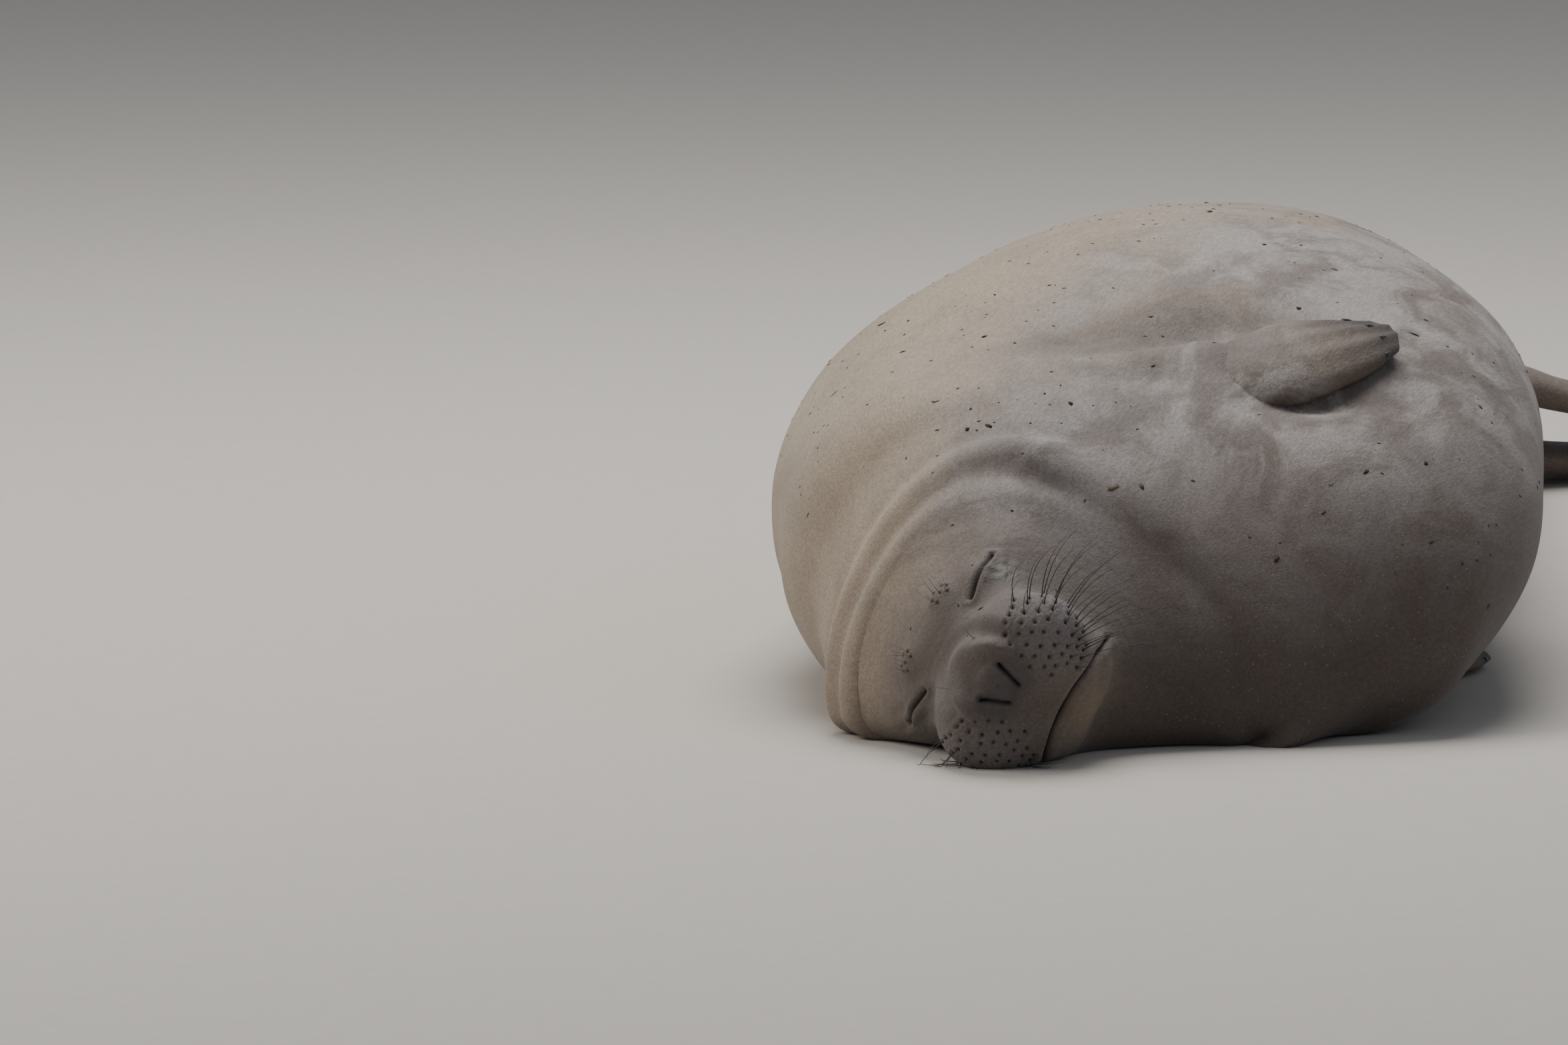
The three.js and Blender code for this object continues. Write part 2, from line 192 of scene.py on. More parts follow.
def noise(p, size, seed=0):
    """Smooth noise from -1 to 1 with bumps of the given size; size may differ along x, y and z."""
    q = p / np.asarray(size, float)
    cell = np.floor(q).astype(np.int64)
    f = q - cell
    f = f * f * (3 - 2 * f)
    total = 0
    for corner in range(8):
        bit = np.array([corner & 1, corner >> 1 & 1, corner >> 2 & 1])
        k = cell + bit
        mixed = seed * SEED_STEP
        for axis, factor in enumerate(CELL_MIX):
            mixed = mixed ^ k[..., axis] * factor
        total = total + LATTICE[mixed & (len(LATTICE) - 1)] * np.prod(np.where(bit == 1, f, 1 - f), axis=-1)
    return total


def mound(p, at, radius):
    """A round hill of height one."""
    return np.exp(-np.sum((p - np.asarray(at)) ** 2, axis=-1) / radius**2)


def band(distance, at, width):
    """A ridge of height one at the given distance."""
    return np.exp(-(((distance - at) / width) ** 2))


def to_segment(p, a, b):
    """Distance to the segment from a to b, and how far along it the nearest point is."""
    a, b = np.asarray(a, float), np.asarray(b, float)
    t = np.clip((p - a) @ (b - a) / np.sum((b - a) ** 2), 0, 1)
    return np.linalg.norm(p - a - t[..., None] * (b - a), axis=-1), t


# The forms of the face, in the head's own axes: forward of the nose, left and dorsal.
EYE = [-146, 86, 49]
SLIT = ([-119, 60, 54], [-172, 105, 45])
BROW = [-154, 43, 79]
WHISKER_PAD = [-44, 74, -30]
NOSTRIL = ([3, 22, 8], [1, 11, -22])
MOUTH_CORNER = -128
FACE_REACH = 420
LID_OUT = unit(np.array([0.35, 0.75, 0.55]))
AHEAD = np.array([1.0, 0.0, 0.0])


def flattened(p, way):
    """The points with their distance along the given way taken out."""
    return p - (p @ way)[..., None] * way


def mouth_height(x, y):
    """The dorsal height of the line between the lips."""
    return -80 - 0.0028 * y * y - 0.12 * np.maximum(0, -x - 60)


def face_form(p):
    """The heights of the face and neck folds, which the solids have too."""
    back = -p[..., 0]
    mirrored = np.stack([p[..., 0], np.abs(p[..., 1]), p[..., 2]], -1)
    y, z = p[..., 1], p[..., 2]
    aside = np.hypot(y, z - 4)
    on_top = smoothstep(z + 0.25 * np.abs(y), -8, 22) * smoothstep(-back, -120, -60)
    snout = (-4 * band(aside, 24, 8) + 9 * band(aside, 38, 9)
             - 4 * band(aside, 53, 7) + 4 * band(aside, 65, 10))
    pads = 24 * mound(mirrored, WHISKER_PAD, 46) + 6 * mound(mirrored, [-4, 32, 20], 15)
    flat = np.stack([p[..., 0], y, 0 * y], -1)
    philtrum = -6 * mound(flat, [-14, 0, 0], 15) * smoothstep(-z, 22, 50)
    chin = 12 * mound(p, [-46, 0, -112], 50) + 15 * mound(mirrored, [-108, 66, -116], 48)
    eyes = -9 * mound(mirrored, EYE, 46) + 12 * mound(mirrored, EYE, 27)
    corner = -7 * mound(mirrored, [-100, 62, 40], 26) - 5 * mound(mirrored, [-96, 92, 0], 26)
    brows = 5 * mound(mirrored, BROW, 22)
    stop = -7 * mound(np.stack([back, y * 0.5, z], -1), [98, 0, 62], 30)
    nape = smoothstep(z + 0.35 * y, -60, 60)
    folds = nape * (4 * band(back, 258, 18) - 4 * band(back, 286, 12)
                    + 5 * band(back, 314, 18) - 3 * band(back, 345, 14))
    total = on_top * snout + pads + philtrum + chin + eyes + corner + brows + stop + folds
    return np.where(back > FACE_REACH, 0, total)


# Hollows and swells round the left shoulder, then two swells that fill the throat. Each has its middle, the
# way that it runs, its reach along and across that way, and its height.
SHOULDER = [
    ([55, 655, 428], [0.75, 0.62, 0.12], (120, 54), -30),
    ([70, 528, 398], [0.88, 0.4, -0.05], (115, 32), 14),
    ([216, 510, 352], [0.88, 0.45, -0.05], (62, 32), -32),
    ([88, 275, 252], [0.75, 0, -0.66], (80, 44), 15),
    ([184, 268, 130], [0.38, -0.08, -0.92], (125, 46), 26),
]


HOLLOW_LINE = ([-70, 560, 440], [150, 700, 440])
HOLLOW_WIDTH = 62


def shoulder_hollow_shade(p):
    """How deep a point lies in the painted shade of the hollow over the left shoulder blade."""
    away, _ = to_segment(p, *HOLLOW_LINE)
    return np.exp(-((away / HOLLOW_WIDTH) ** 2)) * (0.7 + 0.6 * noise(p, 50, 41))


def shoulder_form(p):
    """The heights of the shoulder and throat, which the solids have too."""
    total = 0
    for at, along, (long, wide), height in SHOULDER:
        offset = p - np.array(at)
        run = offset @ unit(np.array(along))
        aside = np.sqrt(np.maximum(0, np.sum(offset**2, -1) - run**2))
        total = total + height * np.exp(-((run / long) ** 2) - (aside / wide) ** 2)
    return total


# How deep and how wide the fine lines of the face are cut, and how wide the painted shade in each is.
SLIT_DEPTH, SLIT_WIDTH, SLIT_SHADE = 4.5, 2.2, 2.6
LIP_DEPTH, LIP_WIDTH, LIP_SHADE = 7, 2.0, 2.2
NOSTRIL_DEPTH, NOSTRIL_WIDTH, NOSTRIL_SHADE = 6, 1.7, 1.9
PIT_DEPTH, PIT_RIM = 2.6, 0.8
OUT_OF_REACH = 40  # how far a line is moved off where it isn't cut
CREASE_STEP = 8.5
TEAR_PATCH = ([-138, 100, 30], 24)
NOSE_PATCH = ([2, 14, -8], 26)
CHIN_PATCH = ([-60, 10, -128], 62)
PAD_PATCH = (WHISKER_PAD, 52)


def cut(distance, width):
    """A line's profile: one along it, and nothing from about two widths away."""
    return np.exp(-((distance / width) ** 2))


def fine_face(p, follicles):
    """Slits, lips, folds and wrinkles too fine for the solids, with masks for the colours and for the painted
    shade in the slits, lips and nostrils.
    """
    back, y, z = -p[..., 0], p[..., 1], p[..., 2]
    mirrored = np.stack([p[..., 0], np.abs(y), z], -1)
    near = smoothstep(-back, -330, -230)
    masks = {}
    # The slit between the lids, and the creases that run with it.
    bent = mirrored + (1.6 * noise(p, 20, 3))[..., None] * [0.3, -0.3, 0.5]
    slit, _ = to_segment(flattened(bent, LID_OUT), *(flattened(np.array(end), LID_OUT) for end in SLIT))
    lid_side = (bent - np.array(SLIT[0])) @ [0.1, -0.12, 1.0]
    over_lids = smoothstep(np.abs(y), 20, 40)
    slit = slit + OUT_OF_REACH * (1 - over_lids)
    height = -SLIT_DEPTH * cut(slit, SLIT_WIDTH) + 1.8 * band(slit, 7, 4)
    lines = np.sin((lid_side + 3 * noise(p, 26, 5)) / CREASE_STEP * math.pi)
    height = height + 0.9 * lines * smoothstep(-slit, -42, -14) * smoothstep(slit, 6, 11)
    masks["slit"] = cut(slit, SLIT_SHADE)
    below_eye = mound(mirrored, *TEAR_PATCH)
    height = height + below_eye * 1.3 * noise(p, (8, 8, 4), 6)
    masks["tear"] = below_eye
    # The mouth, with rolled lips.
    gap = z - mouth_height(p[..., 0], y) + 0.8 * noise(p, 30, 8)
    in_mouth = smoothstep(-back, MOUTH_CORNER - 8, MOUTH_CORNER + 8)
    height = height + in_mouth * (-LIP_DEPTH * cut(gap, LIP_WIDTH) + 2.4 * band(np.abs(gap), 9, 6))
    masks["mouth"] = in_mouth * cut(gap, LIP_SHADE)
    # Nostrils, and the damp nose round them.
    wander = mirrored + (1.2 * noise(p, 12, 9))[..., None]
    nostril, _ = to_segment(flattened(wander, AHEAD), *(flattened(np.array(end), AHEAD) for end in NOSTRIL))
    nostril = nostril + OUT_OF_REACH * smoothstep(back, 16, 30)
    height = height - NOSTRIL_DEPTH * cut(nostril, NOSTRIL_WIDTH) + 2.2 * band(nostril, 6.5, 4)
    masks["nostril"] = cut(nostril, NOSTRIL_SHADE)
    masks["nose"] = mound(mirrored, *NOSE_PATCH)
    # Each whisker grows from a pit with a soft rim.
    dots, rims = np.zeros(p.shape[:-1]), np.zeros(p.shape[:-1])
    for at, size in follicles:
        here = np.linalg.norm(p[:DOT_ROWS] - at, axis=-1)
        dots[:DOT_ROWS] = np.maximum(dots[:DOT_ROWS], cut(here, size))
        rims[:DOT_ROWS] = np.maximum(rims[:DOT_ROWS], band(here, 2.2 * size, size))
    height = height - PIT_DEPTH * dots + PIT_RIM * rims
    masks["follicle"] = dots
    # Fine wrinkles over the face, fading out on the neck.
    wrinkle = noise(p + 9 * noise(p, 40, 12)[..., None], (7, 26, 26), 13)
    height = height + near * 0.4 * wrinkle
    masks["face"] = smoothstep(-(back + 0.22 * np.hypot(y, z) + 16 * noise(p, 60, 15)), -262, -150)
    masks["chin"] = mound(p, *CHIN_PATCH)
    masks["pad"] = mound(mirrored, *PAD_PATCH)
    return height, masks


# Whiskers stand in staggered rows on each pad, in a patch over each eye, and one on each side of the snout.
PAD_CORE = np.array([-62.0, 38.0, -30.0])
PAD_STEP = math.radians(12)
PAD_ROWS, PAD_COLUMNS = 8, 8
PAD_MIDDLE_ROW, PAD_MIDDLE_COLUMN = 3.6, 3.3
PAD_HALF_ROWS, PAD_HALF_COLUMNS = 4.2, 4.0
BROW_HAIRS, BROW_REACH = 7, 12
SNOUT_HAIR = [-31, 32, 41]
PIT_SIZES = {"pad": 2.5, "brow": 1.9, "snout": 2.2}
DOT_ROWS = 150  # the first rows of the skin, which hold every whisker


def nearest_spot(spots, aim):
    return spots[np.argmin(np.sum((spots - aim) ** 2, -1))]


def follicle_places(skin_head, rng):
    """Spots on the skin where whiskers grow, each with its kind, pit size, side, column and row."""
    places = []
    front = skin_head[:DOT_ROWS].reshape(-1, 3)
    for side in (1, -1):
        core = PAD_CORE * [1, side, 1]
        ways = unit(front - core)
        for row in range(PAD_ROWS):
            for column in range(PAD_COLUMNS):
                lift = (row - PAD_MIDDLE_ROW) * PAD_STEP
                swing = (column - 0.2 + 0.5 * (row % 2)) * PAD_STEP
                off_row = (row - PAD_MIDDLE_ROW) / PAD_HALF_ROWS
                off_column = (column - PAD_MIDDLE_COLUMN) / PAD_HALF_COLUMNS
                if off_row**2 + off_column**2 > 1:
                    continue
                lift, swing = np.array([lift, swing]) + rng.normal(0, 0.02, 2)
                level = math.cos(lift)
                way = [level * math.cos(swing), side * level * math.sin(swing), math.sin(lift)]
                spot = front[np.argmax(ways @ way)]
                places.append(("pad", spot, PIT_SIZES["pad"], side, column, row))
        for k in range(BROW_HAIRS):
            turn = k / BROW_HAIRS * 2 * math.pi
            reach = BROW_REACH if k else 0
            aside = BROW[1] + reach * math.sin(turn)
            aim = np.array([BROW[0] + reach * math.cos(turn), side * aside, BROW[2]])
            places.append(("brow", nearest_spot(front, aim), PIT_SIZES["brow"], side, k, 0))
        aim = np.array(SNOUT_HAIR) * [1, side, 1]
        places.append(("snout", nearest_spot(front, aim), PIT_SIZES["snout"], side, 0, 0))
    return places


# Flippers
RIDGE = 0.08  # how much thicker a flipper is along a digit, and thinner between two


def ring_spots(route, flat, half_widths, half_thicks, digit_ends, rows=90, around=120):
    """A flipper's surface as rings from root to free edge, and how far along it each ring is."""
    digits = len(digit_ends)
    turn = np.arange(around) / around * 2 * math.pi
    v = np.cos(turn)
    digit = (v + 1) / 2 * (digits - 1)
    low = np.minimum(digit.astype(int), digits - 2)
    ends = np.array(digit_ends)
    reach = ends[low] + (ends[low + 1] - ends[low]) * (digit - low)
    share = np.linspace(0, 1, rows)[:, None]
    u = share * (1 + (reach[None] - 1) * share)
    count = len(route) - 1
    flat_u = u.ravel() * count
    along = smooth_run(route, flat_u).reshape(rows, around, 3)
    step = 0.02
    after = smooth_run(route, np.clip(flat_u + step, 0, count))
    before = smooth_run(route, np.clip(flat_u - step, 0, count))
    ahead = unit(after - before).reshape(rows, around, 3)
    wide = unit(np.cross(np.array(flat), ahead))
    thick = np.cross(ahead, wide)
    sizes = smooth_run(np.stack([half_widths, half_thicks], -1), share.ravel() * count)
    ridge = 1 + RIDGE * smoothstep(share, 0.35, 1) * np.cos(2 * math.pi * digit)[None]
    rise = np.sin(turn)[None] * sizes[:, 1:2] * ridge
    return along + wide * (v[None] * sizes[:, 0:1])[..., None] + thick * rise[..., None], share


FLIPPERS = {
    "fore_flipper_left": dict(
        route=[[36, 530, 296], [112, 536, 366], [174, 560, 395], [222, 606, 412], [262, 690, 421]],
        flat=[0.21, -0.31, 0.93], half_widths=[54, 66, 74, 66, 40], half_thicks=[36, 37, 31, 23, 10],
        digit_ends=[0.93, 0.98, 1, 0.97, 0.9]),
    "fore_flipper_right": dict(
        route=[[120, 640, 60], [180, 730, 40], [225, 820, 28], [262, 910, 20], [290, 990, 14]],
        flat=[0.1, -0.05, 1], half_widths=[60, 66, 72, 66, 34], half_thicks=[34, 30, 24, 14, 5],
        digit_ends=[0.96, 1, 0.98, 0.92, 0.82]),
    "hind_flipper_left": dict(
        route=[[-150, 2480, 126], [-138, 2590, 142], [-100, 2690, 136],
               [-30, 2790, 106], [55, 2880, 84], [135, 2960, 68]],
        flat=[0.1, -0.1, 1], half_widths=[48, 52, 62, 80, 100, 96], half_thicks=[27, 30, 28, 20, 13, 5],
        digit_ends=[1, 0.9, 0.8, 0.88, 1]),
    "hind_flipper_right": dict(
        route=[[-150, 2480, 64], [-142, 2590, 54], [-108, 2690, 38],
               [-42, 2795, 28], [38, 2890, 19], [116, 2970, 12]],
        flat=[0.02, -0.02, 1], half_widths=[46, 50, 60, 80, 100, 96], half_thicks=[27, 28, 26, 20, 13, 5],
        digit_ends=[1, 0.9, 0.8, 0.88, 1]),
}


# Skin
AROUND = 400
TURNS = np.arange(AROUND) / AROUND * 2 * math.pi
HEAD_ROW_STEP, BODY_ROW_STEP = 1.9, 14
NECK_SECTIONS = (6.2, 9.5)


def spread_rows(head_step, body_step):
    """Section numbers of rows a head step apart on the face, widening to a body step behind the neck."""
    fine = np.linspace(0, LAST, 4000)
    p = body_points(fine, TURNS[::20])
    step = np.linalg.norm(np.diff(p, axis=0), axis=-1).mean(axis=1)
    wanted = head_step + (body_step - head_step) * smoothstep(fine[1:], *NECK_SECTIONS)
    count = np.concatenate([[0], np.cumsum(step / wanted)])
    return np.interp(np.linspace(0, count[-1], int(count[-1])), count, fine)


def face_list(rows, around):
    """Four-sided faces between the rings of a grid."""
    i, j = np.meshgrid(np.arange(rows - 1), np.arange(around), indexing="ij")
    k = (j + 1) % around
    corners = [i * around + j, i * around + k, (i + 1) * around + k, (i + 1) * around + j]
    return np.stack(corners, -1).reshape(-1, 4)


def new_mesh(name, points, faces, masks=()):
    """A smooth piece on the body, with its masks as values at its points."""
    mesh = bpy.data.meshes.new(name)
    mesh.from_pydata(placed(points).tolist(), [], [list(map(int, f)) for f in faces])
    mesh.update()
    mesh.polygons.foreach_set("use_smooth", [True] * len(mesh.polygons))
    for mask, values in dict(masks).items():
        attribute = mesh.attributes.new(mask, "FLOAT", "POINT")
        attribute.data.foreach_set("value", np.ascontiguousarray(values, dtype=np.float32).ravel())
    piece = bpy.data.objects.new(name, mesh)
    bpy.context.collection.objects.link(piece)
    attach(piece, "root")
    return piece


ROOT_FILLET = 15
ROOT_REACH = 26
ROOT_RINGS, ROOT_AROUND = 60, 60


def joined_to_flippers(skin, normals):
    """Swell the skin round each flipper's root, so that the two run into one another."""
    swell = np.zeros(skin.shape[:2])
    for shape in FLIPPERS.values():
        points, share = ring_spots(**shape, rows=ROOT_RINGS, around=ROOT_AROUND)
        root = points[:ROOT_RINGS // 2].reshape(-1, 3)
        tree = KDTree(len(root))
        for i, point in enumerate(root):
            tree.insert(point, i)
        tree.balance()
        low, high = root.min(axis=0) - 3 * ROOT_REACH, root.max(axis=0) + 3 * ROOT_REACH
        for i, j in np.argwhere(np.all((skin > low) & (skin < high), axis=-1)):
            _, nearest, gap = tree.find(skin[i, j])
            fade = 1 - smoothstep(share[nearest // ROOT_AROUND, 0], 0.15, 0.42)
            swell[i, j] = max(swell[i, j], ROOT_FILLET * fade * math.exp(-((gap / ROOT_REACH) ** 2)))
    skin = skin + normals * swell[..., None]
    return skin, grid_normals(skin)


THROAT_ALONG = 270.0
THROAT_REACH = 85
THROAT_SMOOTHINGS = 260


def smoothed_throat(skin):
    """Relax the skin along the body where the throat runs into the chest."""
    share = cut(skin[..., 1] - THROAT_ALONG, THROAT_REACH) * smoothstep(skin[..., 0], -10, 70)
    share = (0.5 * share * smoothstep(skin[..., 2], 0, 25))[..., None]
    share[:2], share[-2:] = 0, 0
    for _ in range(THROAT_SMOOTHINGS):
        middle = (np.roll(skin, 1, axis=0) + np.roll(skin, -1, axis=0)) / 2
        skin = skin + share * (middle - skin)
    return skin


def blubber(p):
    """Slack, uneven flesh under the coat."""
    return 3.5 * noise(p, (190, 230, 190), 21) + 1.2 * noise(p, (70, 120, 70), 22)


def make_skin(rng):
    """The whole skin as one piece, with its grid of points and the spots of the whiskers."""
    rows = spread_rows(HEAD_ROW_STEP, BODY_ROW_STEP)
    plain = body_points(rows, TURNS)
    normals = grid_normals(plain)
    shaped = plain + normals * (face_form(to_head(plain)) + shoulder_form(plain))[..., None]
    shaped = smoothed_throat(shaped)
    normals = grid_normals(shaped)
    places = follicle_places(to_head(shaped), rng)
    fine, masks = fine_face(to_head(shaped), [(spot, size) for _, spot, size, *_ in places])
    shaped, normals = joined_to_flippers(shaped, normals)
    on_head = smoothstep(-shaped[..., 1], -420, -300)
    on_body = smoothstep(shaped[..., 1], 150, 500)
    off_floor = smoothstep(shaped[..., 2], 0, 12)
    height = (fine * on_head + blubber(shaped) * on_body) * off_floor
    skin = shaped + normals * height[..., None]
    skin[..., 2] = np.maximum(skin[..., 2], 0)
    masks["hollow"] = shoulder_hollow_shade(skin)
    points = skin.reshape(-1, 3)
    nose_tip, tail_tip = skin[0].mean(axis=0), skin[-1].mean(axis=0)
    count = len(points)
    faces = [f[::-1] for f in face_list(len(rows), AROUND)]
    faces += [(count, (j + 1) % AROUND, j) for j in range(AROUND)]
    end = (len(rows) - 1) * AROUND
    faces += [(count + 1, end + j, end + (j + 1) % AROUND) for j in range(AROUND)]
    values = {mask: np.append(here.ravel(), [here[0].mean(), here[-1].mean()])
              for mask, here in masks.items()}
    piece = new_mesh("skin", np.vstack([points, nose_tip, tail_tip]), faces, values)
    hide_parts("head", "muzzle", "lower_jaw", "eyelids_left", "eyelids_right", "neck",
                "chest", "flank", "belly", "loin", "rump", "tail")
    return piece, skin, places


def make_flipper(name, shape):
    """A flipper's skin, closed flat at its free edge and at its root inside the body."""
    points, share = ring_spots(**shape)
    rows, around = points.shape[:2]
    normals = grid_normals(points)
    points = points + normals * (0.8 * noise(points, 24, 31) * (1 - share ** 4))[..., None]
    masks = {"tip": np.broadcast_to(share, (rows, around))}
    faces = face_list(rows, around).tolist()
    end = (rows - 1) * around
    half = around // 2
    cap = [[end + j, end + j + 1, end + around - 1 - j, end + (around - j) % around]
           for j in range(1, half - 1)]
    cap += [[end, end + 1, end + around - 1], [end + half - 1, end + half, end + half + 1]]
    faces = [list(f)[::-1] for f in faces + cap]
    faces.append(list(range(around)))
    piece = new_mesh(name + "_skin", points.reshape(-1, 3), faces, masks)
    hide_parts(name)
    return piece


# Floor, lights and camera
def make_stage(material):
    bpy.ops.mesh.primitive_plane_add(size=120, location=(0, 0, 0))
    floor = bpy.context.object
    floor.name = "floor"
    floor.data.materials.append(material)


def soft_light(name, location, size, power, colour, target=(0, -0.9, 0.25)):
    data = bpy.data.lights.new(name, "AREA")
    data.shape = "DISK"
    data.size = size
    data.energy = power
    data.color = colour
    light = bpy.data.objects.new(name, data)
    light.location = location
    light.rotation_euler = (Vector(target) - Vector(location)).to_track_quat("-Z", "Y").to_euler()
    bpy.context.collection.objects.link(light)


def even_light(colour, strength):
    world = bpy.data.worlds.new("world")
    world.use_nodes = True
    sky = world.node_tree.nodes["Background"]
    sky.inputs["Color"].default_value = colour
    sky.inputs["Strength"].default_value = strength
    bpy.context.scene.world = world


# The photo's view: its size, and where in it the right cheek meets the floor, in pixels.
PHOTO_WIDTH, PHOTO_HEIGHT = 2352, 1568
CHEEK_PIXEL = (1500, 1151)
FOCAL_PIXELS = 21600
SENSOR = 36.0
CAMERA_DISTANCE = 16.0
CAMERA_TURN, CAMERA_DROP = math.radians(17), math.radians(7.03)


def make_camera():
    ahead = np.array([
        -math.sin(CAMERA_TURN) * math.cos(CAMERA_DROP),
        math.cos(CAMERA_TURN) * math.cos(CAMERA_DROP),
        -math.sin(CAMERA_DROP),
    ])
    right = np.array([math.cos(CAMERA_TURN), math.sin(CAMERA_TURN), 0])
    above = np.cross(right, ahead)
    across_view = (CHEEK_PIXEL[0] - PHOTO_WIDTH / 2) / FOCAL_PIXELS
    down_view = (CHEEK_PIXEL[1] - PHOTO_HEIGHT / 2) / FOCAL_PIXELS
    place = placed(np.zeros(3)) - CAMERA_DISTANCE * (ahead + across_view * right - down_view * above)
    data = bpy.data.cameras.new("camera")
    data.sensor_width = SENSOR
    data.lens = FOCAL_PIXELS * SENSOR / PHOTO_WIDTH
    data.clip_end = 200
    camera = bpy.data.objects.new("camera", data)
    camera.location = place
    camera.rotation_euler = Vector(ahead).to_track_quat("-Z", "Y").to_euler()
    bpy.context.collection.objects.link(camera)
    bpy.context.scene.camera = camera


# Shader building
class Nodes:
    """Adds nodes to a tree; a value given as a socket is linked, and any other is set."""

    def __init__(self, tree):
        self.tree = tree

    def add(self, kind, values=(), **settings):
        node = self.tree.nodes.new(kind)
        for key, value in settings.items():
            setattr(node, key, value)
        for key, value in dict(values).items():
            if isinstance(value, bpy.types.NodeSocket):
                self.tree.links.new(value, node.inputs[key])
            else:
                node.inputs[key].default_value = value
        return node

    def math(self, operation, a, b=0.0, clamp=False):
        return self.add("ShaderNodeMath", {0: a, 1: b}, operation=operation, use_clamp=clamp).outputs[0]

    def span(self, value, low, high, start=0.0, end=1.0):
        """A soft step from start to end as the value goes from low to high."""
        values = {0: value, 1: low, 2: high, 3: start, 4: end}
        return self.add("ShaderNodeMapRange", values, interpolation_type="SMOOTHSTEP").outputs[0]

    def blend(self, share, a, b, way="MIX"):
        return self.add("ShaderNodeMix", {0: share, 6: a, 7: b}, data_type="RGBA", blend_type=way).outputs[2]

    def mask(self, name):
        return self.add("ShaderNodeAttribute", attribute_name=name).outputs["Fac"]

    def place(self, stretch=(1, 1, 1)):
        place = self.add("ShaderNodeTexCoord").outputs["Object"]
        return self.add("ShaderNodeVectorMath", {0: place, 1: stretch}, operation="MULTIPLY").outputs[0]

    def noise(self, place, scale, detail=3.0, rough=0.55, twist=0.0):
        values = {"Vector": place, "Scale": scale, "Detail": detail, "Roughness": rough, "Distortion": twist}
        return self.add("ShaderNodeTexNoise", values).outputs["Fac"]


def rgb(r, g, b):
    return (r, g, b, 1)


def new_group(name, inputs, outputs):
    """A shader group with float inputs and their starting values, and outputs of the given types."""
    tree = bpy.data.node_groups.new(name, "ShaderNodeTree")
    for label, value in inputs.items():
        tree.interface.new_socket(label, in_out="INPUT", socket_type="NodeSocketFloat").default_value = value
    for label, kind in outputs.items():
        tree.interface.new_socket(label, in_out="OUTPUT", socket_type="NodeSocket" + kind)
    nodes = Nodes(tree)
    return nodes, nodes.add("NodeGroupInput").outputs, nodes.add("NodeGroupOutput").inputs


def fill(nodes, sockets, values):
    for label, value in values.items():
        nodes.tree.links.new(value, sockets[label])


def coat_lie_group():
    """Short hair lying back along the body: fine streaks in tone and height."""
    nodes, given, out = new_group("coat_lie", {"Fineness": 1.0}, {"Tone": "Float", "Height": "Float"})
    lie = nodes.place((1, 0.2, 1))
    coarse = nodes.noise(lie, nodes.math("MULTIPLY", given["Fineness"], 300), 4, 0.6, 0.3)
    fine = nodes.noise(lie, nodes.math("MULTIPLY", given["Fineness"], 900), 2, 0.6)
    tone = nodes.math("ADD", nodes.math("MULTIPLY", coarse, 0.55), nodes.math("MULTIPLY", fine, 0.45))
    fill(nodes, out, {"Tone": nodes.span(tone, 0.34, 0.66), "Height": tone})
    return nodes.tree


def cloud_group():
    """Cloudy patches that run along the body."""
    nodes, given, out = new_group("coat_clouds", {"Scale": 8.0, "Cover": 0.5}, {"Mask": "Float"})
    place = nodes.place((1, 0.55, 1))
    cloud = nodes.noise(place, given["Scale"], 6, 0.62, 0.8)
    low = nodes.math("SUBTRACT", 0.86, nodes.math("MULTIPLY", given["Cover"], 0.6))
    high = nodes.math("ADD", low, 0.2)
    fill(nodes, out, {"Mask": nodes.span(cloud, low, high)})
    return nodes.tree


def grain_group():
    """Loose sand grains caught on the coat, each a small pale bump."""
    nodes, given, out = new_group("sand_grains", {"Amount": 0.3}, {"Mask": "Float", "Height": "Float"})
    place = nodes.place()
    cells = nodes.add("ShaderNodeTexVoronoi", {"Vector": place, "Scale": 330.0, "Randomness": 1.0})
    patch = nodes.noise(place, 26.0, 5, 0.65)
    pick = nodes.add("ShaderNodeSeparateColor", {0: cells.outputs["Color"]}).outputs[0]
    chance = nodes.math("MULTIPLY", given["Amount"], nodes.span(patch, 0.4, 0.72, 0.12, 1))
    here = nodes.math("LESS_THAN", pick, chance)
    dot = nodes.span(cells.outputs["Distance"], 0.22, 0.42, 1, 0)
    mask = nodes.math("MULTIPLY", dot, here)
    fill(nodes, out, {"Mask": mask, "Height": mask})
    return nodes.tree


def horn_group():
    """The grain of horn, as a mask for its tone and as a height."""
    nodes, given, out = new_group("horn_grain", {"Scale": 180.0}, {"Mask": "Float", "Height": "Float"})
    grain = nodes.noise(nodes.place(), given["Scale"], 4, 0.6)
    fill(nodes, out, {"Mask": nodes.span(grain, 0.35, 0.7), "Height": grain})
    return nodes.tree


# Base colours, the painted shade and sheen among them
WARM_BACK = rgb(0.34, 0.272, 0.2)
TOP_LIT_WARM_COAT = rgb(0.34, 0.262, 0.19)
COOL_CHEST = rgb(0.14, 0.115, 0.105)
SHEEN_PALE = rgb(0.3, 0.272, 0.25)
HOLLOW_SHADE = rgb(0.07, 0.043, 0.03)
BROWN_CLOUD = rgb(0.095, 0.066, 0.052)
UNDERSIDE_BROWN_AND_SHADE = rgb(0.06, 0.042, 0.033)
FACE_BROWN = rgb(0.088, 0.066, 0.054)
FACE_DARK = rgb(0.046, 0.033, 0.027)
CHIN_TAN = rgb(0.2, 0.143, 0.09)
PAD_GREY = rgb(0.24, 0.215, 0.215)
SAND = rgb(0.42, 0.34, 0.25)
TEAR_STAIN = rgb(0.04, 0.032, 0.021)
FLIPPER_BROWN = rgb(0.14, 0.1, 0.076)
FLIPPER_DARK = rgb(0.03, 0.019, 0.014)
NOSE_DARK = rgb(0.05, 0.042, 0.04)
PIT_SHADE_AND_ROOT = rgb(0.02, 0.016, 0.015)
